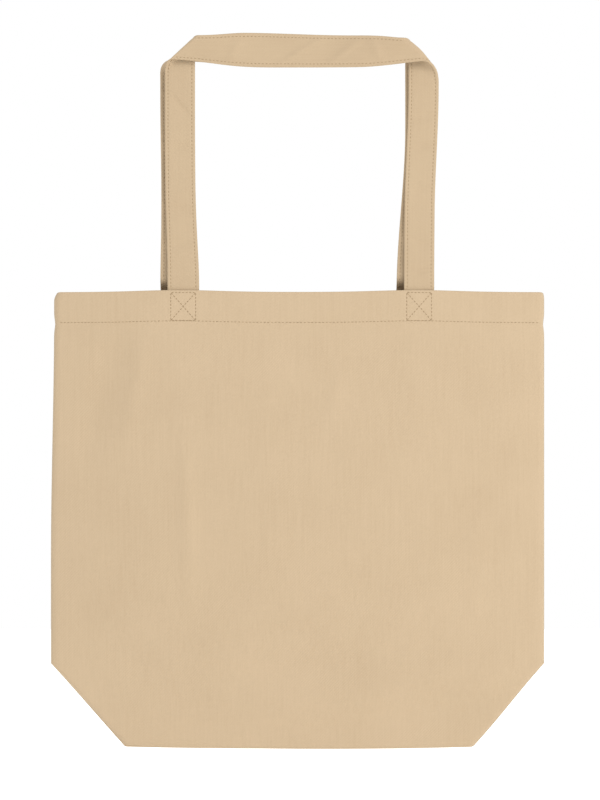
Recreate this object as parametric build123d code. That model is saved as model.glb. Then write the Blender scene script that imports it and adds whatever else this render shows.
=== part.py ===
from build123d import *

import math
import os

# A canvas tote bag, hanging by its two handles, folded nearly flat as it is sold and stored.
#
# Units are millimetres. +Z is up, the front faces -Y, and +X is to the right of someone who faces the front.
# The origin is the point that a hook or a hand takes: mid-width, on the underside of the handle tops.
#
# The body is two panels of the same cut. Each has a turned hem at the mouth, runs down to the bottom crease
# and turns up inside as half of the tucked base, where the two panels meet in one long seam. The base and its
# boxed corners are pushed up between the panels, which is what gives the slanting lower corners. Each handle is
# one strap, sewn inside the hem with a crossed box at each end and folded over at 45 degrees where it turns
# along the top. The two handles lean in until they nearly touch. The back is the front turned half a turn about
# Z, so each handle sits a little off centre.

# The body
bag_width = 406.0
bag_height = 376.0  # from the hem's top edge to the bottom crease
gusset_depth = 127.0  # how deep the base is once it is pushed out
crease_drop = 8.0  # how far the bottom crease lies into the base
cloth = 0.8  # one layer of canvas
side_half = 3.2  # half the bag's thickness at its side edges
mouth_swell = 8.0  # how much more each panel stands out at mid-width, at the mouth
belly_swell = 14.0  # and where it is fullest
foot_swell = 1.5  # and at the bottom crease
belly_at = 0.55  # the fullest place, as a share of the height
swell_power = 2.6  # how square the swelling is across the width
split_gap = 0.2  # each panel stops this far from the bag's middle plane

# The hem
hem_depth = 26.0
hem_extra = 0.9  # the turned-in layer
thread = 0.35  # how far a row of stitches stands out
thread_width = 0.6
thread_clear = 0.02  # between a row of stitches and the cloth that it is drawn on

# The handles
strap_width = 25.0
strap_thick = 2.2  # the strip is folded to four layers
handle_spacing = 196.0  # between the middles of a handle's two legs
handle_shift = 3.0  # each handle sits this far to the right of someone who faces it
handle_rise = 185.0  # from the hem's top edge to the underside of the handle top
leg_lean = 1.0  # how much closer to its neighbour a leg is at the hem than at the top
fold_radius = 2.0  # of the strap's middle layer, where it folds over at 45 degrees
sewn_length = 24.0  # of each strap end, inside the hem
strap_gap = 0.15  # between a strap end and the hem
row_inset = 2.2  # from a strap's edge to its row of stitches
loops_apart = 1.0  # between the two handles' stitches, where the loops lean closest
box_width = 20.5
box_height = 23.0
box_drop = 1.5  # from the hem's top edge to the top of the crossed box
box_clear = 0.35  # a flat box of stitches stands this far off the curved hem

# How the handle swings over the hem
axis_lift = 0.5  # the hinge line is this far over the hem's top edge
loop_lift = 1.5  # and the moving loop starts this far over it

# The seams inside
allowance = 10.0
seam_thick = 1.4
seam_clear = 0.6
corner_lap = 0.1  # from the tucked base to a corner's allowance
seam_stop = 2.0  # an upright allowance stops this far from what crosses it
crease_room = 12.0  # and a corner's stops this far above the bottom crease

upper_slices = 9  # how many stretches a panel is drawn in, above its slanting corners
lower_slices = 3  # and beside them

corner_run = gusset_depth / 2
corner_rise = gusset_depth / 2 + crease_drop
corner_depth = bag_height - corner_rise  # where the slanting corners start, and the base seam's depth
hem_top = -handle_rise
wall_at_hem = cloth + hem_extra
across = [-1.0, -0.95, -0.85, -0.7, -0.5, -0.25, 0.0, 0.25, 0.5, 0.7, 0.85, 0.95, 1.0]


def half_width(depth):
    """Half the bag's width at a depth below the hem's top edge."""
    cut = max(0.0, depth - corner_depth) / corner_rise
    return bag_width / 2 - corner_run * cut


def swell(depth):
    """How much further out the panel is at mid-width than at its side edges."""
    share = min(max(depth / bag_height, 0.0), 1.0)
    if share < belly_at:
        rise = (1 - math.cos(math.pi * share / belly_at)) / 2
        return mouth_swell + (belly_swell - mouth_swell) * rise
    fall = (1 - math.cos(math.pi * (share - belly_at) / (1 - belly_at))) / 2
    return belly_swell + (foot_swell - belly_swell) * fall


def front_y(x, depth):
    """Where the front panel's outside is."""
    share = min(abs(x) / half_width(depth), 1.0)
    return -(side_half + swell(depth) * (1 - share**swell_power))


def panel_curve(depth, wall, inset, z):
    """The line across the front panel, wall deep in the cloth, as a spline at height z."""
    reach = half_width(depth) - inset
    points = []
    for share in across:
        x = share * reach
        points.append((x, front_y(share * half_width(depth), depth) + wall, z))
    return Spline(*points)


def side_lines(curve, other, z):
    """From the right end of curve, round the flange's edge on the bag's middle plane, to the end of other."""
    start, finish = curve @ 1, other @ 1
    flat = -split_gap
    return Polyline((start.X, start.Y, z), (start.X, flat, z), (finish.X, flat, z), (finish.X, finish.Y, z))


def channel(depth, wall):
    """A slice of the panel: the front wall with a flange at each side that reaches the bag's middle plane."""
    z = hem_top - depth
    outer = panel_curve(depth, 0, 0, z)
    inner = panel_curve(depth, wall, cloth, z)
    right = side_lines(outer, inner, z)
    return Wire([outer, *right.edges(), inner, *mirror(right, Plane.YZ).edges()])


def crease_slice(depth):
    """A slice of the folded cloth at the bottom crease, solid from the front to the middle plane."""
    z = hem_top - depth
    outer = panel_curve(depth, 0, 0, z)
    left, right = outer @ 0, outer @ 1
    flat = -split_gap
    back_line = Polyline((right.X, right.Y, z), (right.X, flat, z), (left.X, flat, z), (left.X, left.Y, z))
    return Wire([outer, *back_line.edges()])


def band(depths, wall):
    """The stretch of the panel from the first depth to the last."""
    return Solid.make_loft([channel(d, wall) for d in depths], True)


def levels(start, end, count):
    """The depths of the slices from start to end."""
    return [start + (end - start) * k / count for k in range(count + 1)]


def panel():
    """The front panel: hem, outside, bottom crease and the front half of the tucked base."""
    crease_depth = bag_height - cloth
    wide, narrow = half_width(corner_depth) - cloth, half_width(crease_depth) - cloth
    high, low = hem_top - corner_depth, hem_top - crease_depth
    tuck = sheet([(-narrow, low), (narrow, low), (wide, high), (-wide, high)], -split_gap - cloth / 2, cloth)
    hem = band([0, hem_depth / 2, hem_depth], wall_at_hem)
    upper = levels(hem_depth, corner_depth, upper_slices)
    lower = levels(corner_depth, crease_depth, lower_slices)
    outside = band(upper + lower[1:], cloth)
    crease = Solid.make_loft([crease_slice(d) for d in (crease_depth, bag_height)], True)
    return hem.fuse(outside, tuck, crease)


def hem_row():
    """The row of stitches along the bottom of the hem, on the outside."""
    wires = []
    for depth in (hem_depth - thread_width / 2, hem_depth + thread_width / 2):
        z = hem_top - depth
        inner = panel_curve(depth, -thread_clear, 0, z)
        outer = panel_curve(depth, -thread, 0, z)
        ends = [Line(inner @ 0, outer @ 0), Line(inner @ 1, outer @ 1)]
        wires.append(Wire([inner, ends[0], outer, ends[1]]))
    return Solid.make_loft(wires, True)


def leg_x(side, at_top):
    """The middle of a leg of the front handle. side is -1 for the left leg and 1 for the right."""
    lean = 0.0 if at_top else leg_lean
    return handle_shift + side * (handle_spacing / 2 - lean)


def strap_y():
    """The middle of the strap where it leaves the hem."""
    inner = front_y(handle_spacing / 2, 0) + wall_at_hem
    return inner + strap_gap + strap_thick / 2


def swing_line():
    """The Y and Z of the line, along X, that the front handle swings about: over the hem's outer edge."""
    return front_y(handle_spacing / 2, 0), hem_top + axis_lift


def lean_in(piece):
    """The loop's pieces, leant in about its foot until it nearly meets the other handle."""
    reach = handle_rise - loop_lift + strap_width
    room = -strap_y() - strap_thick / 2 - thread - thread_clear - loops_apart / 2
    foot = Pos(0, strap_y(), hem_top + loop_lift)
    return foot * Rot(-math.degrees(math.asin(room / reach)), 0, 0) * foot.inverse() * piece


def sheet(points, middle_y, thick):
    """A flat piece of the outline given in X and Z, thick along Y."""
    outline = Wire(Polyline(*[(x, middle_y + thick / 2, z) for x, z in points], close=True).edges())
    return extrude(Face(outline), amount=thick, dir=(0, -1, 0))


def fold(side):
    """The half tube where the strap turns over, along the 45 degree line at one top corner."""
    foot = (leg_x(side, True) + side * strap_width / 2, strap_y() - fold_radius, 0)
    plane = Plane(origin=foot, x_dir=(side, 0, 1), z_dir=(-side, 0, 1))
    tube = Circle(fold_radius + strap_thick / 2) - Circle(fold_radius - strap_thick / 2)
    half = tube & Pos(fold_radius * 2, 0) * Rectangle(fold_radius * 4, fold_radius * 4)
    return extrude(plane * half, amount=strap_width * math.sqrt(2))


def handle_loop():
    """The free part of the front handle, from just over the hem and back."""
    half = strap_width / 2
    low = hem_top + loop_lift
    loop = None
    for side in (-1, 1):
        foot, top = leg_x(side, False), leg_x(side, True)
        leg = [(foot - half, low), (foot + half, low)]
        leg += [(top - side * half, strap_width), (top + side * half, 0)][:: -side]
        piece = sheet(leg, strap_y(), strap_thick) + fold(side)
        loop = piece if loop is None else loop + piece
    left, right = leg_x(-1, True), leg_x(1, True)
    top = [(left - half, 0), (right + half, 0), (right - half, strap_width), (left + half, strap_width)]
    return lean_in(loop + sheet(top, strap_y() - 2 * fold_radius, strap_thick))


def handle_row(which):
    """A row of stitches along the front handle, on both faces: the outer row if which is 1, the inner if -1."""
    edge = which * (strap_width / 2 - row_inset)
    middle = strap_width / 2 - edge
    face = (strap_thick + thread) / 2 + thread_clear
    turn = fold_radius + strap_thick
    half = thread_width / 2
    low, end = hem_top + loop_lift, middle - turn
    pieces = []
    for side in (-1, 1):
        foot, top = leg_x(side, False) + side * edge, leg_x(side, True) + side * edge
        run = [(foot - half, low), (foot + half, low), (top + half, end), (top - half, end)]
        pieces += [sheet(run, strap_y() + y, thread) for y in (-face, face)]
    left, right = leg_x(-1, True) - edge + turn, leg_x(1, True) + edge - turn
    run = [(left, middle - half), (right, middle - half), (right, middle + half), (left, middle + half)]
    pieces += [sheet(run, strap_y() - 2 * fold_radius + y, thread) for y in (-face, face)]
    return lean_in(Compound(pieces))


def hem_turn(x):
    """How far the hem's face is turned about Z at x, in degrees, as the mouth curves."""
    return math.degrees(math.atan2(front_y(x + 1, 0) - front_y(x - 1, 0), 2))


def hem_lean(x):
    """How far the hem leans from upright at x, in degrees, as the panel swells below the mouth."""
    return math.degrees(math.atan2(front_y(x, 0) - front_y(x, hem_depth), hem_depth))


def strap_end(side):
    """The end of the front handle that is sewn inside the hem."""
    x = leg_x(side, False)
    y = front_y(x, 0) + wall_at_hem + strap_gap + strap_thick / 2
    end = Box(strap_width, strap_thick, sewn_length)
    return Pos(x, y, hem_top - sewn_length / 2) * Rot(0, 0, hem_turn(x)) * end


def crossed_box(side):
    """The stitched box with its two diagonals, on the outside of the front hem."""
    x = leg_x(side, False)
    y = front_y(x, box_drop + box_height / 2) - thread / 2 - box_clear
    slope = math.degrees(math.atan2(box_height, box_width))
    row = Box(math.hypot(box_width, box_height) - thread_width, thread, thread_width)
    frame = Box(box_width, thread, box_height)
    frame -= Box(box_width - 2 * thread_width, 2 * thread, box_height - 2 * thread_width)
    stitches = frame + Rot(0, slope, 0) * row + Rot(0, -slope, 0) * row
    return Pos(x, y, hem_top - box_drop - box_height / 2) * Rot(hem_lean(x), 0, hem_turn(x)) * stitches


def upright_strip(x, y, thick, start, end):
    """A seam allowance that runs up the bag, from one depth to another."""
    return Pos(x, y, hem_top - (start + end) / 2) * Box(allowance, thick, end - start)


def side_seam(side):
    """The overlocked allowances of both panels, inside along a side edge."""
    x = side * (bag_width / 2 - cloth - seam_clear - allowance / 2)
    return upright_strip(x, 0, seam_thick, hem_depth + seam_stop, corner_depth - seam_stop)


def base_seam():
    """The overlocked allowances of the seam along the top of the tucked base."""
    length = bag_width - 2 * (cloth + 2 * seam_clear + allowance)
    return Pos(0, 0, hem_top - corner_depth + seam_clear + allowance / 2) * Box(length, seam_thick, allowance)


def corner_seam(side):
    """The front half of a boxed corner's seam, inside the tucked base."""
    x = side * (bag_width / 2 - corner_run - allowance / 2)
    y = -(split_gap + cloth + corner_lap + cloth / 2)
    return upright_strip(x, y, cloth, corner_depth + seam_stop, bag_height - crease_room)


def back(piece):
    """The same piece on the back of the bag."""
    return Rot(0, 0, 180) * piece


names = {-1: "left", 1: "right"}
nodes = {
    "front_panel": panel(),
    "back_panel": back(panel()),
    "front_hem_stitching": hem_row(),
    "back_hem_stitching": back(hem_row()),
    "front_handle_loop": handle_loop(),
    "back_handle_loop": back(handle_loop()),
    "base_seam": base_seam(),
}
for which, word in {1: "outer", -1: "inner"}.items():
    nodes[f"front_handle_{word}_stitching"] = handle_row(which)
    nodes[f"back_handle_{word}_stitching"] = back(handle_row(which))
for side, word in names.items():
    far = names[-side]
    nodes[f"side_seam_{word}"] = side_seam(side)
    nodes[f"front_handle_end_{word}"] = strap_end(side)
    nodes[f"back_handle_end_{far}"] = back(strap_end(side))
    nodes[f"front_crossed_box_{word}"] = crossed_box(side)
    nodes[f"back_crossed_box_{far}"] = back(crossed_box(side))
    nodes[f"front_corner_seam_{word}"] = corner_seam(side)
    nodes[f"back_corner_seam_{far}"] = back(corner_seam(side))

os.makedirs("parts", exist_ok=True)
for name, shape in nodes.items():
    export_step(shape, f"parts/{name}.step")
print("the front handle swings about the line at y and z of", swing_line())
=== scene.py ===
import math

import bmesh
import bpy
from mathutils import Matrix, Vector, noise


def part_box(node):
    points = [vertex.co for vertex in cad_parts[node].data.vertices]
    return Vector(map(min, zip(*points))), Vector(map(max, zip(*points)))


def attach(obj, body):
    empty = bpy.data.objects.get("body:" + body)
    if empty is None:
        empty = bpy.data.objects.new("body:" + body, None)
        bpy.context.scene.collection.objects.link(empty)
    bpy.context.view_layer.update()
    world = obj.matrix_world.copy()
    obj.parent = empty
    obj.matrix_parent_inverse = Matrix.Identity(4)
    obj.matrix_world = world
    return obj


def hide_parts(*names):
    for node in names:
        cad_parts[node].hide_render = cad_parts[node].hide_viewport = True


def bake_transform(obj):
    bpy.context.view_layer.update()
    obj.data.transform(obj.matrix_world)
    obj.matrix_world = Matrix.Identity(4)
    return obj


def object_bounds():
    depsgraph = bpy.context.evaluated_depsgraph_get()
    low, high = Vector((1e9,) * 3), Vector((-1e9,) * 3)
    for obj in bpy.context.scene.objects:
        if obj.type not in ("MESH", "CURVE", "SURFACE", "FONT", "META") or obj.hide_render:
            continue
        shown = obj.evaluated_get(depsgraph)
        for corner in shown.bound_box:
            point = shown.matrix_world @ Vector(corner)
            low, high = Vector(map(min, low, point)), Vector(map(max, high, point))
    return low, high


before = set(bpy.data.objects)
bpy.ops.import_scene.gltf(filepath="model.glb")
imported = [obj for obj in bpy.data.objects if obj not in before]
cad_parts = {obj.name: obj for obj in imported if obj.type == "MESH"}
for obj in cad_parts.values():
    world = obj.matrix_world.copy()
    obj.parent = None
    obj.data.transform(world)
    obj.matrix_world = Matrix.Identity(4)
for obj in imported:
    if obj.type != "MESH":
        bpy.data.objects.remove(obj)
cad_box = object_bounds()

# The view: the bag seen square on, from far off, so that its sides stay upright.
# The camera looks along +Y at a point below the mouth, a little to the right of the bag's middle.
mm = 0.001
camera_distance = 4000 * mm
camera_height = -275 * mm
camera_side = 2 * mm
view_height = 659.5 * mm

camera_data = bpy.data.cameras.new("camera")
camera_data.sensor_width = 36
camera_data.lens = camera_data.sensor_width * camera_distance / view_height
camera = bpy.data.objects.new("camera", camera_data)
camera.location = (camera_side, -camera_distance, camera_height)
camera.rotation_euler = (math.radians(90), 0, 0)
bpy.context.scene.collection.objects.link(camera)
bpy.context.scene.camera = camera


# The studio: white all round, with one broad soft light high on the right in front and one behind.
# The floor is pale and bright, so the bag is the only thing with a colour.
def linear(code):
    """An sRGB hex colour as linear red, green, blue and alpha."""
    values = [int(code[k : k + 2], 16) / 255 for k in (0, 2, 4)]
    return [v / 12.92 if v <= 0.04045 else ((v + 0.055) / 1.055) ** 2.4 for v in values] + [1.0]


def add(material, kind, links=None, **settings):
    """One node of a material, with its properties and sockets set and its inputs linked."""
    node = material.node_tree.nodes.new(kind)
    for name, value in settings.items():
        if hasattr(node, name):
            setattr(node, name, value)
        else:
            node.inputs[name.replace("_", " ")].default_value = value
    for socket, source in (links or {}).items():
        material.node_tree.links.new(source, node.inputs[socket])
    return node


def new_material(name):
    """An empty material."""
    material = bpy.data.materials.new(name)
    material.use_nodes = True
    material.node_tree.nodes.clear()
    return material


def finish_material(material, shader):
    """Ends a material in its shader."""
    add(material, "ShaderNodeOutputMaterial", {"Surface": shader.outputs[0]})
    return material


def soft_light(name, place, target, size, power):
    """A square area light that points at target."""
    data = bpy.data.lights.new(name, "AREA")
    data.size = size
    data.energy = power
    light = bpy.data.objects.new(name, data)
    light.location = place
    light.rotation_euler = (Vector(target) - Vector(place)).to_track_quat("-Z", "Y").to_euler()
    bpy.context.scene.collection.objects.link(light)


bag_middle = (0, 0, -0.3)
soft_light("key", (1.7, -2.1, 1.7), bag_middle, size=1.2, power=48)
soft_light("back_fill", (0.9, 3.0, 1.0), bag_middle, size=2.0, power=24)

world = bpy.data.worlds.new("studio")
world.use_nodes = True
world.node_tree.nodes["Background"].inputs["Color"].default_value = linear("FFFFFF")
world.node_tree.nodes["Background"].inputs["Strength"].default_value = 1.0
bpy.context.scene.world = world
bpy.context.scene.view_settings.view_transform = "Standard"

floor_paint = new_material("matt white studio floor")
finish_material(
    floor_paint,
    add(
        floor_paint,
        "ShaderNodeBsdfPrincipled",
        Base_Color=linear("FAFAF8"),
        Roughness=0.9,
        Emission_Color=linear("FFFFFF"),
        Emission_Strength=0.35,
    ),
)
floor_drop = 45 * mm
floor_size = 3.0
floor_mesh = bmesh.new()
bmesh.ops.create_grid(floor_mesh, x_segments=1, y_segments=1, size=floor_size)
bmesh.ops.translate(floor_mesh, verts=floor_mesh.verts, vec=(0, 0, cad_box[0].z - floor_drop))
floor = bpy.data.objects.new("floor", bpy.data.meshes.new("floor"))
floor_mesh.to_mesh(floor.data)
floor_mesh.free()
floor.data.materials.append(floor_paint)
bpy.context.scene.collection.objects.link(floor)

# The cloth: unbleached cotton canvas in a close twill, undyed, so it keeps the cotton's sandy colour.
# It is matt, with a faint bloom of loose fibre and upright lines where the warp shows.
panel_tones = ("AD977B", "B39E82", "B8A286")
# These darker tones are the same canvas with painted shade, used for the straps and the cut edges inside.
canvas_tones_with_painted_shade = ("AA9377", "AF9A7E", "B49F82")
twill_pitch = 1.1 * mm  # the real lines are about half as far apart, which is too fine to show
twill_angle = 63
warp_streak = 1.4 * mm
streak_length = 40  # times its width
cloud_size = 60 * mm
fleck_size = 0.9 * mm
twill_share = 0.35  # of the tone that comes from the twill's own lines
yarn_height = 0.12 * mm
fibre_height = 0.15 * mm


def canvas(name, coordinates, tones, turn=0.0):
    """Cotton twill, drawn on the given texture coordinate: Object on the flat panels, where the warp is
    upright, or UV along a strap, where it runs lengthwise once the coordinate is turned about X."""
    material = new_material(name)
    source = add(material, "ShaderNodeTexCoord").outputs[coordinates]
    upright = add(
        material, "ShaderNodeMapping", {"Vector": source}, Rotation=(math.radians(turn), 0, 0)
    ).outputs[0]
    streaks = add(
        material,
        "ShaderNodeMapping",
        {"Vector": upright},
        Scale=(1 / warp_streak, 1 / warp_streak, 1 / (warp_streak * streak_length)),
    ).outputs[0]
    streak = add(
        material, "ShaderNodeTexNoise", {"Vector": streaks}, Scale=1.0, Detail=3.0, Roughness=0.6
    ).outputs["Fac"]
    cloud = add(
        material, "ShaderNodeTexNoise", {"Vector": upright}, Scale=1 / cloud_size, Detail=4.0, Roughness=0.55
    ).outputs["Fac"]
    fleck = add(
        material, "ShaderNodeTexNoise", {"Vector": upright}, Scale=1 / fleck_size, Detail=2.0, Roughness=0.5
    ).outputs["Fac"]
    slant = add(
        material,
        "ShaderNodeMapping",
        {"Vector": upright},
        Rotation=(0, math.radians(twill_angle), 0),
    ).outputs[0]
    twill = add(
        material,
        "ShaderNodeTexWave",
        {"Vector": slant},
        wave_type="BANDS",
        bands_direction="X",
        Scale=math.pi / 10 / twill_pitch,
        Distortion=1.2,
        Detail=1.0,
    ).outputs["Fac"]
    tone = add(material, "ShaderNodeMath", {0: streak, 1: cloud}, operation="ADD").outputs[0]
    tone = add(material, "ShaderNodeMath", {0: tone, 1: fleck}, operation="ADD").outputs[0]
    lines = add(material, "ShaderNodeMath", {0: twill, 2: tone}, operation="MULTIPLY_ADD")
    lines.inputs[1].default_value = twill_share
    tone = lines.outputs[0]
    ramp = add(
        material, "ShaderNodeMapRange", {"Value": tone}, From_Min=1.0, From_Max=2.35
    ).outputs[0]
    colours = add(material, "ShaderNodeValToRGB", {"Fac": ramp})
    colours.color_ramp.elements[0].color = linear(tones[0])
    colours.color_ramp.elements[1].color = linear(tones[2])
    colours.color_ramp.elements.new(0.5).color = linear(tones[1])
    weave = add(
        material, "ShaderNodeBump", {"Height": twill}, Strength=0.45, Distance=yarn_height
    ).outputs[0]
    grain = add(
        material, "ShaderNodeBump", {"Height": fleck, "Normal": weave}, Strength=0.3, Distance=fibre_height
    ).outputs[0]
    shader = add(
        material,
        "ShaderNodeBsdfPrincipled",
        {"Base Color": colours.outputs["Color"], "Normal": grain},
        Roughness=0.92,
        Specular_IOR_Level=0.25,
        Sheen_Weight=0.12,
        Sheen_Roughness=0.6,
        Sheen_Tint=linear("F3E6D0"),
    )
    return finish_material(material, shader)


panel_canvas = canvas("unbleached cotton twill, panels", "Object", panel_tones)

# The two panels: each is one cut of canvas with its top edge turned in as a hem, folded at the bottom crease
# and turned up inside as half of the tucked base. They meet at the side seams, the slanting corners and the
# base seam. The mouth hangs a little open, and the cloth keeps the soft creases that it was folded with.
panel_low, panel_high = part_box("front_panel")
half_bag = panel_high.x
hem_top = panel_high.z
bag_height = panel_high.z - panel_low.z
corner_run = 63.5 * mm
corner_rise = 69.0 * mm
tuck_rise = 71.5 * mm  # how far up the folded base reaches
corner_depth = bag_height - corner_rise
side_half = 3.2 * mm
mouth_swell = 8.0 * mm
belly_swell = 14.0 * mm
foot_swell = 1.5 * mm
belly_at = 0.55
swell_power = 2.6
cloth = 0.7 * mm
hem_depth = 26.0 * mm
hem_lap = 0.95 * mm  # from the hem's outer layer to its turned-in one
edge_round = 5.0 * mm  # how far in from a side edge the cloth rounds over
split = 0.65 * mm  # from the middle plane to each half of the folded base
foot_spread = {-1: 0.017, 1: 0.035}  # how much wider the bag is at the foot, on its left and on its right
broad_ripple = 0.9 * mm
fine_ripple = 0.35 * mm
stitch_pitch = 3.0 * mm
panel_columns = 216

# The folds of each panel: the height in mm, from where to where, and the width in mm. x is to the right of
# someone who faces the panel, and the other number is the depth below the hem's top edge, in metres.
front_folds = [
    (1.5, (-0.093, 0.120), (-0.088, 0.250), 7),
    (2.6, (-0.040, 0.352), (0.200, 0.300), 20),
    (-1.6, (0.010, 0.372), (0.160, 0.345), 16),
    (-1.8, (-0.150, 0.040), (-0.172, 0.130), 13),
    (1.3, (-0.125, 0.034), (-0.140, 0.120), 9),
    (0.7, (0.105, 0.036), (0.150, 0.062), 6),
    (-0.6, (0.120, 0.034), (0.170, 0.055), 5),
    (0.8, (0.035, 0.070), (0.025, 0.110), 6),
    (1.0, (0.150, 0.190), (0.145, 0.270), 9),
    (-1.2, (-0.190, 0.250), (-0.120, 0.320), 12),
]
back_folds = [
    (1.7, (0.020, 0.080), (0.012, 0.300), 8),
    (2.2, (-0.190, 0.290), (0.020, 0.350), 18),
    (-1.5, (0.110, 0.060), (0.160, 0.200), 16),
    (0.9, (-0.140, 0.036), (-0.110, 0.090), 7),
    (-0.8, (-0.070, 0.040), (-0.080, 0.085), 7),
]


def smooth(value, low, high):
    """0 below low, 1 above high and an even curve between."""
    share = min(max((value - low) / (high - low), 0.0), 1.0)
    return share * share * (3 - 2 * share)


def bump(value, middle, width):
    """A soft hump of height 1 at middle."""
    return math.exp(-(((value - middle) / width) ** 2))


def half_width(depth):
    """Half the panel's width at a depth below the hem's top edge."""
    cut = max(0.0, depth - corner_depth) / corner_rise
    return half_bag - corner_run * cut


def swell(depth):
    """How much further out the panel stands at mid-width than at its side edges."""
    share = min(max(depth / bag_height, 0.0), 1.0)
    if share < belly_at:
        rise = (1 - math.cos(math.pi * share / belly_at)) / 2
        return mouth_swell + (belly_swell - mouth_swell) * rise
    fall = (1 - math.cos(math.pi * (share - belly_at) / (1 - belly_at))) / 2
    return belly_swell + (foot_swell - belly_swell) * fall


def crease_line(x, depth, start, end, width):
    """A soft ridge of height 1 along the line from start to end, which fades at its ends."""
    line = Vector(end) - Vector(start)
    along = (Vector((x, depth)) - Vector(start)).dot(line) / line.length_squared
    off = (Vector((x, depth)) - Vector(start) - line * along).length
    return math.exp(-((off / width) ** 2)) * smooth(along, -0.25, 0.25) * (1 - smooth(along, 0.75, 1.25))


def creases(x, depth, folds):
    """How far a panel stands out over its even shape, for the folds that it keeps."""
    out = 0.0
    for height, start, end, width in folds:
        out += height * mm * crease_line(x, depth, start, end, width * mm)
    return out


def hem_pucker(x, depth):
    """The rise and fall that each stitch draws into the hem, and the step where its inner layer ends."""
    row = bump(depth, hem_depth, 2.2 * mm)
    stitches = 0.10 * mm * math.sin(2 * math.pi * x / stitch_pitch)
    drawn = 0.25 * mm * noise.noise(Vector((x / (9 * mm), 3.1, 0)))
    step = 0.35 * mm * (1 - smooth(depth, hem_depth - 1.5 * mm, hem_depth + 2.5 * mm))
    return row * (stitches + drawn - 0.30 * mm) + step


def outside(x, depth, folds, seed):
    """How far the outside face of a panel is from the bag's middle plane."""
    share = min(abs(x) / half_width(depth), 1.0)
    plain = side_half + swell(depth) * (1 - share**swell_power)
    calm = smooth(half_width(depth) - abs(x), 0.0, 30 * mm) * smooth(bag_height - depth, 0.0, 40 * mm)
    ripple = broad_ripple * noise.noise(Vector((x / 0.055, seed, depth / 0.080)))
    ripple += fine_ripple * noise.noise(Vector((x / 0.022, seed + 5, depth / 0.034)))
    relief = creases(x, depth, folds) + ripple
    under_hem = smooth(depth, hem_depth, hem_depth + 22 * mm)
    relief *= calm * under_hem + 0.25 * (1 - smooth(depth, 0.0, 0.05))
    inset = max(half_width(depth) - abs(x), 0.0) / edge_round
    curl = math.sqrt(1 - (1 - min(inset, 1.0)) ** 2)
    return (plain + relief + hem_pucker(x, depth)) * curl + cloth / 2 * (1 - curl)


def drawn_in(depth, side):
    """How far a side edge is drawn in: at the hem's stitches on both sides, and all down the upper left side,
    where the mouth's corner is rounded too. side is -1 on the bag's left and 1 on its right."""
    inward = 0.9 * mm * bump(depth, hem_depth, 5 * mm)
    if side < 0:
        inward += 2.6 * mm * (1 - smooth(depth, 0.02, 0.22)) + 2.2 * mm * bump(depth, 0.0, 3.5 * mm)
    else:
        inward += 0.8 * mm * bump(depth, 0.0, 2.5 * mm)
    return inward


def mouth_dip(x):
    """How far the mouth's edge hangs between the handles and at its ends."""
    return 1.6 * mm * (1 - bump(abs(x), 98 * mm, 45 * mm))


def foot_dip(x):
    """How far the bottom crease hangs: most a little to the right of the middle, and not at its left end."""
    return 1.2 * mm - 3.2 * mm * ((x - 25 * mm) / (165 * mm)) ** 2


hem_rows = [hem_depth - k * hem_depth / 7 for k in range(7)]
turn_rows = 4
fine_rows = [k * 1.15 * mm for k in range(1, 27)]
upper_rows = [fine_rows[-1] + (corner_depth - fine_rows[-1]) * k / 66 for k in range(1, 67)]
crease_radius = 0.6 * mm
lower_rows = [corner_depth + (corner_rise - crease_radius) * k / 20 for k in range(1, 21)]
layers = [("hem", depth) for depth in hem_rows]
layers += [("top", k / turn_rows) for k in range(turn_rows + 1)]
layers += [("outside", depth) for depth in fine_rows + upper_rows + lower_rows]
layers += [("crease", k / turn_rows) for k in range(1, turn_rows)]
layers += [("tuck", depth) for depth in reversed(lower_rows)]
layers += [("tuck", corner_depth), ("tuck", bag_height - tuck_rise)]


def panel_point(share, layer, face):
    """A point of a panel's cloth, share of the way from its middle to a side edge, before it is turned."""
    kind, value = layer
    turn, folds, seed, own_left = faces[face]
    side = own_left if share < 0 else -own_left
    depth = {"hem": value, "outside": value, "tuck": value, "top": 0.0}.get(kind, lower_rows[-1])
    true_x = share * half_width(depth)
    pull = drawn_in(depth, side) * smooth(abs(share), 0.65, 1.0)
    x = true_x * (1 + foot_spread[side] * smooth(depth, corner_depth, bag_height))
    x += pull * (1 if share < 0 else -1)
    middle = outside(true_x, depth, folds, seed) - cloth / 2
    z = hem_top - depth - mouth_dip(x) * (1 - smooth(depth, 0.0, 0.12))
    z -= foot_dip(x) * smooth(depth, corner_depth, bag_height)
    rim = smooth(1 - abs(share), 0.0, 0.012)
    if kind == "hem":
        middle -= hem_lap * rim
    if kind == "top":
        middle -= hem_lap * rim * (1 - math.cos(math.pi * (1 - value))) / 2
        z += hem_lap / 2 * rim * math.sin(math.pi * value) - cloth / 2
    if kind == "outside" and depth > corner_depth:
        middle = max(middle, split) if rim == 1 else split + (middle - split) * rim
    if kind == "crease":
        middle = split + (middle - split) * rim * (1 + math.cos(math.pi * value)) / 2
        z -= crease_radius * rim * math.sin(math.pi * value)
    if kind == "tuck":
        middle = split
    return Vector((x, -middle, z))


def woven_grid(name, across, along, place, close=0.0):
    """A grid of cloth, across by along, with each of its points moved to place(across, along)."""
    mesh = bmesh.new()
    bmesh.ops.create_grid(mesh, x_segments=across, y_segments=along, size=0.5)
    uv = mesh.loops.layers.uv.new("cloth")
    for face in mesh.faces:
        for loop in face.loops:
            loop[uv].uv = (loop.vert.co.x, loop.vert.co.y)
    for vertex in mesh.verts:
        i = round((vertex.co.x + 0.5) * across)
        j = round((vertex.co.y + 0.5) * along)
        vertex.co = place(i, j)
    if close:
        bmesh.ops.remove_doubles(mesh, verts=mesh.verts, dist=close)
    piece = bpy.data.objects.new(name, bpy.data.meshes.new(name))
    mesh.to_mesh(piece.data)
    mesh.free()
    piece.data.shade_smooth()
    bpy.context.scene.collection.objects.link(piece)
    return piece


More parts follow.
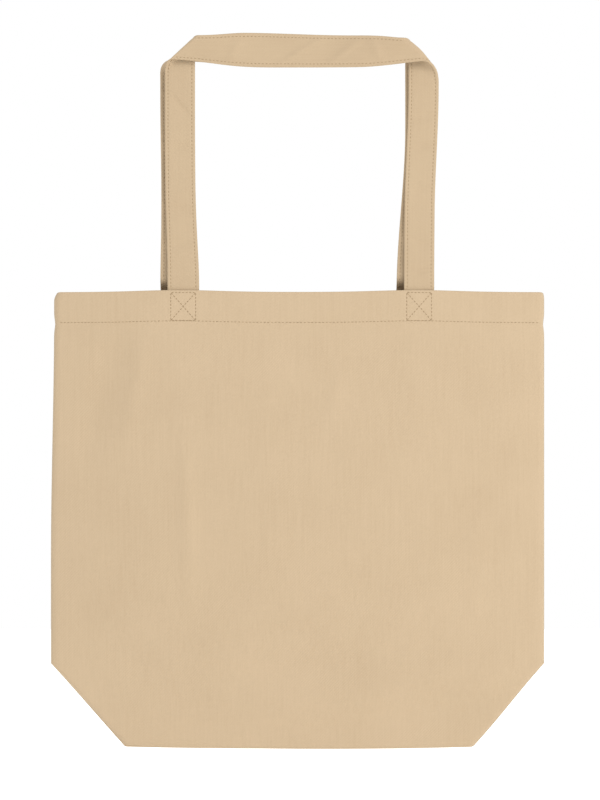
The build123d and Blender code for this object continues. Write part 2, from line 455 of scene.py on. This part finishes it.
def thicken(piece, thickness):
    """Gives a grid of cloth its thickness, half to each side."""
    solid = piece.modifiers.new("thickness", "SOLIDIFY")
    solid.thickness = thickness
    solid.offset = 0
    return piece


half_turn = Matrix.Rotation(math.pi, 3, "Z")
faces = {"front": (Matrix.Identity(3), front_folds, 0.0, -1), "back": (half_turn, back_folds, 40.0, 1)}
for face, (turn, folds, seed, own_left) in faces.items():
    def place(i, j, turn=turn, face=face):
        even = 2 * i / panel_columns - 1
        share = 0.65 * even + 0.35 * math.sin(math.pi / 2 * even)
        return turn @ panel_point(share, layers[j], face)

    panel = woven_grid(f"{face}_panel_canvas", panel_columns, len(layers) - 1, place, close=0.02 * mm)
    thicken(panel, cloth)
    panel.data.materials.append(panel_canvas)
    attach(panel, "bag")
    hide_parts(f"{face}_panel")

# The stitches: spun cotton-wrapped thread in a lock stitch about 3 mm long, darker than the canvas, partly in
# its own colour and partly as painted shade of the needle holes. Each stitch lies half sunk in the cloth and
# dips where the needle went through.
# Both thread tones are darkened partly as painted shade of the needle holes; the rest is the thread's own
# colour.
thread_tone_with_painted_shade = "9C8567"
thread_dark_with_painted_shade = "7E694D"
hem_thread = 0.25 * mm  # the radius of the thread along the hems
strap_thread = 0.30 * mm  # on the straps and in the crossed boxes
stitch_length = 2.0 * mm
stitch_sides = 6
stitch_rings = 4

thread = new_material("cotton-wrapped sewing thread")
thread_place = add(thread, "ShaderNodeTexCoord").outputs["Object"]
thread_twist = add(
    thread, "ShaderNodeTexNoise", {"Vector": thread_place}, Scale=1 / (0.8 * mm), Detail=2.0
).outputs["Fac"]
thread_tone = add(thread, "ShaderNodeValToRGB", {"Fac": thread_twist})
thread_tone.color_ramp.elements[0].color = linear(thread_dark_with_painted_shade)
thread_tone.color_ramp.elements[1].color = linear(thread_tone_with_painted_shade)
finish_material(
    thread,
    add(
        thread,
        "ShaderNodeBsdfPrincipled",
        {"Base Color": thread_tone.outputs["Color"]},
        Roughness=0.75,
        Specular_IOR_Level=0.3,
    ),
)


def sew(name, rows, radius, length=stitch_length):
    """Stitches along rows. A row is a list of points a stitch apart, each with the cloth's outward normal."""
    mesh = bmesh.new()
    one = bpy.data.meshes.new("stitch")
    for row in rows:
        for (start, up), (end, _) in zip(row, row[1:]):
            along = (end - start).normalized()
            side = up.cross(along).normalized()
            up = along.cross(side).normalized()
            turn = Matrix((side * radius, up * radius, along * length / 2)).transposed().to_4x4()
            stitch = bmesh.new()
            spot = Matrix.Translation((start + end) / 2)
            bmesh.ops.create_uvsphere(
                stitch, u_segments=stitch_sides, v_segments=stitch_rings, radius=1, matrix=spot @ turn
            )
            stitch.to_mesh(one)
            stitch.free()
            mesh.from_mesh(one)
    bpy.data.meshes.remove(one)
    bmesh.ops.recalc_face_normals(mesh, faces=mesh.faces)
    piece = bpy.data.objects.new(name, bpy.data.meshes.new(name))
    mesh.to_mesh(piece.data)
    mesh.free()
    piece.data.shade_smooth()
    piece.data.materials.append(thread)
    bpy.context.scene.collection.objects.link(piece)
    return piece


def on_panel(x, depth, face, inner=0.0):
    """A point on a panel's outside, or inner behind it, with the normal that points out of the bag."""
    turn = faces[face][0]
    share = x / half_width(depth)
    point = panel_point(share, ("outside", depth), face)
    near = panel_point(share + 0.004, ("outside", depth), face)
    below = panel_point(share, ("outside", depth + 0.5 * mm), face)
    normal = (below - point).cross(near - point).normalized()
    point = point + normal * (cloth / 2 - inner)
    return turn @ point, turn @ normal * (-1 if inner else 1)


hem_inner = cloth + hem_lap
hem_stitch_depth = hem_depth - 1.2 * mm
hem_stitch_end = 2 * mm
for face in faces:
    count = int(2 * (half_bag - hem_stitch_end) / stitch_pitch)
    xs = [(k - count / 2) * stitch_pitch for k in range(count + 1)]
    rows = [[on_panel(x, hem_stitch_depth, face, inner) for x in xs] for inner in (0.0, hem_inner)]
    hem_stitches = sew(f"{face}_hem_stitches", rows, radius=hem_thread)
    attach(hem_stitches, "bag")
    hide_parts(f"{face}_hem_stitching")

# The handles: each is one strip of the canvas folded to four layers and stitched along both edges. Its ends
# are sewn inside the hem, and it is pressed over at 45 degrees at each top corner, so the top run lies in
# front of the legs. It wrinkles across where it has been folded away.
strap_width = 25.0 * mm
strap_thick = 2.1 * mm
handle_spacing = 196.0 * mm
handle_shift = 3.0 * mm
leg_lean = 1.0 * mm
sewn_length = 24.0 * mm
row_inset = 2.7 * mm
row_groove = 0.22 * mm
row_gap = 2 * mm  # from a sewn end to the first stitch of the loop
thread_sink = 0.085 * mm
hem_gap = 0.2 * mm  # between a sewn end and the hem's inner layer
bend_end = 14 * mm
lean = math.radians(1.39)
strap_y = -outside(handle_spacing / 2, 0.0, [], 0.0) + hem_inner + strap_thick / 2 + hem_gap
half_length = handle_spacing / 2 + strap_width / 2 - hem_top + sewn_length
# The straps are the panels' canvas, darkened as painted shade.
strap_canvas = canvas("unbleached cotton twill, straps, with painted shade", "UV", canvas_tones_with_painted_shade, turn=90)

# How each leg and top corner of a handle lies, by its handle and its side of the bag, in mm and degrees: the
# roll's radius at the strap's outer and inner edge, the run's tilt and how far it reaches, how far the run's
# top edge is pulled down, how far the leg bows outwards between two heights over the hem, and its waist.
lay_names = ("outer", "inner", "tilt", "reach", "pull", "bow", "bow_low", "bow_high", "waist")
lays = {
    ("front", "left"): (2.7, 2.0, 38, 60, 0.0, 1.9, 0, 90, 0.0),
    ("front", "right"): (8.0, 3.8, 34, 47, 2.4, 2.8, 65, 170, 0.0),
    ("back", "left"): (3.6, 8.0, 40, 70, 1.5, -0.1, 0, 110, 0.6),
    ("back", "right"): (3.2, 2.6, 36, 60, 0.5, 6.2, 0, 132, 0.0),
}
corners = {place: dict(zip(lay_names, values)) for place, values in lays.items()}
run_radius = 2.0 * mm
curl_gap = 2.6 * mm  # between the front handle and the back handle's left edges, which curl forwards
curl_flat = 7 * mm  # how much of a curled edge lies flat behind the front handle
curl_reach = 23 * mm
roll_flatness = 0.6
tilt_lead = 0.40  # how much further forward a tilted run's upper edge stands, for its height
run_arch = 2.2 * mm
run_sag = 1.4 * mm
leg_wrinkle = 1.2 * mm
run_wrinkle = 1.1 * mm
strap_ripple = 0.6 * mm
leg_wrinkles = {
    "left": [(-0.032, -1.0), (-0.067, -0.1), (-0.118, -0.3), (-0.147, 0.2), (-0.176, 0.1)],
    "right": [(-0.042, -0.2), (-0.066, -0.1), (-0.100, 0.2), (-0.145, 0.3), (-0.169, -0.3)],
}
run_wrinkles = [(-0.055, 0.5), (0.000, 1.7), (0.036, 1.2), (0.062, -0.4)]


def strap_section():
    """The strap's outline across, as (across, through) pairs: two flat faces with rounded edges."""
    edge = strap_width / 2 - strap_thick / 2
    flat = [edge * (2 * k / 36 - 1) for k in range(37)]
    round_edge = [math.pi * k / 5 for k in range(1, 5)]
    section = [(t, face_height(t)) for t in flat]
    half = strap_thick / 2
    section += [(edge + half * math.sin(a), half * math.cos(a)) for a in round_edge]
    section += [(t, -face_height(t)) for t in reversed(flat)]
    section += [(-edge - half * math.sin(a), -half * math.cos(a)) for a in round_edge]
    return section + section[:1]


def face_height(across):
    """Half the strap's thickness, less the groove that each row of stitches pulls into it."""
    row = strap_width / 2 - row_inset
    return strap_thick / 2 - row_groove * bump(abs(across), row, 0.9 * mm)


def wrinkle(across, along, spot, slant, width):
    """A soft ridge across the middle of the strap, leaning by slant."""
    off = along - spot - slant * across
    return math.exp(-((off / width) ** 2) - (across / (10 * mm)) ** 2)


def strap_point(length, across, through, face):
    """A point of a handle, length along it from its own left end. Each half is worked out as a left half: x
    is the distance in from the leg's outer edge and z the height. The right half is its mirror image."""
    own = "left" if length < half_length else "right"
    mirror = -1 if own == "left" else 1
    side = own if face == "front" else {"left": "right", "right": "left"}[own]
    corner = corners[face, side]
    flat_z = hem_top - sewn_length + min(length, 2 * half_length - length)
    x = across + strap_width / 2
    up = (flat_z - x) / math.sqrt(2)
    along = (flat_z + x) / math.sqrt(2)
    radius = corner["outer"] + (corner["inner"] - corner["outer"]) * smooth(along, 0.0, 24 * mm)
    radius = radius * mm + (run_radius - corner["inner"] * mm) * smooth(along, 40 * mm, 74 * mm)
    depth = 1 - (1 - roll_flatness) * smooth(radius, 2 * mm, 7 * mm)
    half_roll = math.pi * radius / 2
    past = up + half_roll
    if up < -half_roll:
        y = through
    elif up < half_roll:
        angle = up / radius
        up = (radius + through) * math.cos(angle) - half_roll
        y = -radius * depth * (1 + math.sin(angle)) - through * math.sin(angle)
    else:
        up = -up
        y = -2 * radius * depth - through
    x, z = (along - up) / math.sqrt(2), (along + up) / math.sqrt(2)
    over = smooth(past, 0.0, 2 * half_roll)
    tilt = math.radians(corner["tilt"]) * over * math.exp(-((x / mm / corner["reach"]) ** 2))
    tilt *= 1 - smooth(x, 60 * mm, 105 * mm)
    if past > 0:
        low = min(max(strap_width - z, 0.0), strap_width)
        y -= tilt_lead * (strap_width - low) * math.sin(tilt)
        z += low * (1 - math.cos(tilt))
        top_edge = smooth(z, 0.3 * strap_width, strap_width)
        z -= corner["pull"] * mm * over * bump(x, 25 * mm, 18 * mm) * top_edge
        if face == "back":
            z += 1.6 * mm * over * smooth(x, 10 * mm, 60 * mm) * low / strap_width
    elif face == "back":
        from_edge = x if side == "left" else strap_width - x
        between = 2 * (abs(strap_y) - (z - hem_top) * math.sin(lean)) - strap_thick - curl_gap
        curl = 1 - smooth(from_edge, curl_flat, curl_reach)
        curl *= smooth(z, hem_top - 2 * mm, hem_top + 10 * mm)
        y += between * curl * (1 - smooth(past, -35 * mm, 0.0))
    in_run = over * smooth(x, strap_width, 65 * mm)
    bow_low, bow_high = hem_top + corner["bow_low"] * mm, hem_top + corner["bow_high"] * mm
    bow = corner["bow"] * smooth(z, bow_low, bow_high) - corner["waist"] * bump(z, hem_top / 2, 50 * mm)
    x -= bow * mm * (1 - smooth(x, 20 * mm, 90 * mm) * over)
    if past < 0:
        spread = 1 - smooth(z, hem_top + 5 * mm, hem_top + 60 * mm)
        x += (x - strap_width / 2) * 0.05 * spread * (side == "left")
    from_middle = handle_spacing / 2 + strap_width / 2 - x
    ripple = 0.0
    if past < 0:
        for spot, slant in leg_wrinkles[side]:
            ripple += leg_wrinkle * wrinkle(across, flat_z, spot, slant, 3.0 * mm)
    elif past > 2 * half_roll:
        for spot, slant in run_wrinkles:
            ripple -= run_wrinkle * wrinkle(z - strap_width / 2, mirror * from_middle, spot, slant, 4.4 * mm)
    ripple += strap_ripple * noise.noise(Vector((length / 0.03, across / 0.03, 7.0 + len(face))))
    y += ripple * smooth(z - hem_top, 2 * mm, 20 * mm)
    lean_x = leg_lean * (1 - smooth(z, hem_top, hem_top + 0.15)) if past < 0 else 0.0
    x = mirror * (from_middle - lean_x)
    arch = run_arch * bump(x if face == "front" else -x, -42 * mm, 50 * mm)
    z += in_run * (arch * z / strap_width - run_sag * (1 - z / strap_width))
    follow = 1 - smooth(z, hem_top, hem_top + bend_end)
    at_hem = -outside(handle_shift + x, 0.0, [], 0.0) + hem_inner + strap_thick / 2 + hem_gap
    y += strap_y * (1 - follow) + at_hem * follow
    up = z - hem_top - 1.5 * mm
    if up > 0:
        y, z = strap_y + (y - strap_y) * math.cos(lean) + up * math.sin(lean), z - up * (1 - math.cos(lean))
    point = Vector((x + handle_shift, y, z))
    return point if face == "front" else half_turn @ point


section = strap_section()
to_corner = sewn_length - hem_top - 22 * mm
past_corner = to_corner + 72 * mm
stations = [to_corner * k / 76 for k in range(76)]
stations += [to_corner + (past_corner - to_corner) * k / 120 for k in range(120)]
stations += [past_corner + (half_length - past_corner) * k / 26 for k in range(26)]
stations += [half_length] + [2 * half_length - length for length in reversed(stations)]
for face in faces:
    def place(i, j, face=face):
        return strap_point(stations[j], *section[i], face)

    strap = woven_grid(f"{face}_handle_strap", len(section) - 1, len(stations) - 1, place, close=0.01 * mm)
    mesh = bmesh.new()
    mesh.from_mesh(strap.data)
    uv = mesh.loops.layers.uv["cloth"]
    for side_face in mesh.faces:
        for loop in side_face.loops:
            station = stations[round((loop[uv].uv.y + 0.5) * (len(stations) - 1))]
            loop[uv].uv = ((loop[uv].uv.x + 0.5) * 2 * (strap_width + strap_thick), station)
    bmesh.ops.holes_fill(mesh, edges=[e for e in mesh.edges if e.is_boundary])
    bmesh.ops.recalc_face_normals(mesh, faces=mesh.faces)
    mesh.to_mesh(strap.data)
    mesh.free()
    strap.data.materials.append(strap_canvas)
    handle = f"{face}_handle"
    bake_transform(strap)
    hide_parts(f"{handle}_loop", f"{handle}_end_left", f"{handle}_end_right")

    start = sewn_length + row_gap
    end = 2 * half_length - sewn_length - row_gap
    count = round((end - start) / stitch_pitch)
    for row_name, way in (("outer", -1), ("inner", 1)):
        across = way * (strap_width / 2 - row_inset)
        rows = []
        for through in (-1, 1):
            depth = through * face_height(across)
            row = []
            for k in range(count + 1):
                length = start + (end - start) * k / count
                point = strap_point(length, across, depth, face)
                normal = (point - strap_point(length, across, 0.0, face)).normalized()
                row.append((point - normal * thread_sink, normal))
            rows.append(row)
        strap_stitches = sew(f"{handle}_{row_name}_stitches", rows, radius=strap_thread)
        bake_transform(strap_stitches)
        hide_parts(f"{handle}_{row_name}_stitching")

# The crossed boxes: where each strap end is sewn inside the hem, a square of stitches with both diagonals
# goes through hem and strap, so it shows outside on the hem and inside on the strap.
box_width = 20.5 * mm
box_height = 23.0 * mm
box_drop = 1.6 * mm
box_pitch = 2.75 * mm


def box_lines(middle):
    """The sides and diagonals of a crossed box, as rows of (x, depth) points one stitch apart."""
    left, right = middle - box_width / 2, middle + box_width / 2
    top, bottom = box_drop, box_drop + box_height
    ends = [((left, top), (right, top)), ((right, top), (right, bottom)), ((right, bottom), (left, bottom))]
    ends += [((left, bottom), (left, top)), ((left, top), (right, bottom)), ((right, top), (left, bottom))]
    lines = []
    for start, end in ends:
        count = round(math.dist(start, end) / box_pitch)
        lines.append([tuple(a + (b - a) * k / count for a, b in zip(start, end)) for k in range(count + 1)])
    return lines


behind_strap = hem_inner + strap_thick
for face in faces:
    for side in (-1, 1):
        middle = handle_shift + side * (handle_spacing / 2 - leg_lean)
        rows = []
        for line in box_lines(middle):
            rows.append([on_panel(x, depth, face) for x, depth in line])
            rows.append([on_panel(x, depth, face, behind_strap) for x, depth in line])
        word = {-1: "left", 1: "right"}[side if face == "front" else -side]
        box = sew(f"{face}_crossed_box_{word}_stitches", rows, radius=strap_thread)
        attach(box, "bag")
        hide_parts(f"{face}_crossed_box_{word}")

# The seams inside: at each side, under the base and at the boxed corners, two cut edges of canvas are held
# together and bound with overlock thread. They stand into the bag as flat strips 10 mm wide.
overlock_pitch = 3.2 * mm
overlock_depth = 6.0 * mm
overlock_slant = 0.8 * mm
overlock_thread = 0.26 * mm
edge_waviness = 0.5 * mm
# The cut edges get the same darker tones as the straps: painted shade.
edge_canvas = canvas("unbleached cotton twill, cut edges, with painted shade", "Object", canvas_tones_with_painted_shade)


def overlocked_strip(node, upright, bound):
    """A strip in the place of a seam's node. upright says that it runs up the bag, and bound, +1 or -1, which
    of its long edges is cut and bound."""
    low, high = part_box(node)
    thick = high.y - low.y
    long, wide = (high.z - low.z, high.x - low.x) if upright else (high.x - low.x, high.z - low.z)
    steps = int(long / (4 * mm))

    def wave(along, across):
        """A point of the strip's middle."""
        free = across / wide
        y = (low.y + high.y) / 2 + edge_waviness * free * noise.noise(Vector((along / 0.02, low.x * 30, 1.0)))
        if upright:
            inward = 0.0
            if abs(low.x) > corner_run * 2.5:
                inward = drawn_in(hem_top - low.z - along, -bound) + cloth
            edge = low.x if bound > 0 else high.x
            return Vector((edge + bound * (across + inward), y, low.z + along))
        return Vector((low.x + along, y, low.z + across))

    strip = woven_grid(f"{node}_edges", 6, steps, lambda i, j: wave(long * j / steps, wide * i / 6))
    thicken(strip, thick * 0.8)
    strip.data.materials.append(edge_canvas)
    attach(strip, "bag")
    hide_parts(node)
    rows = []
    out = Vector((0, 1, 0))
    for way in (-1, 1):
        lift = out * way * thick * 0.42
        for k in range(int(long / overlock_pitch)):
            along = (k + 0.5) * overlock_pitch
            foot = wave(along - overlock_slant, wide - overlock_depth) + lift
            edge = wave(along + overlock_slant, wide - 0.3 * mm) + lift
            rows.append([(foot, out * way), (edge, out * way)])
    binding = sew(f"{node}_overlock", rows, radius=overlock_thread, length=overlock_depth)
    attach(binding, "bag")


overlocked_strip("side_seam_left", upright=True, bound=1)
overlocked_strip("side_seam_right", upright=True, bound=-1)
overlocked_strip("base_seam", upright=False, bound=1)
for face in faces:
    overlocked_strip(f"{face}_corner_seam_left", upright=True, bound=1)
    overlocked_strip(f"{face}_corner_seam_right", upright=True, bound=-1)
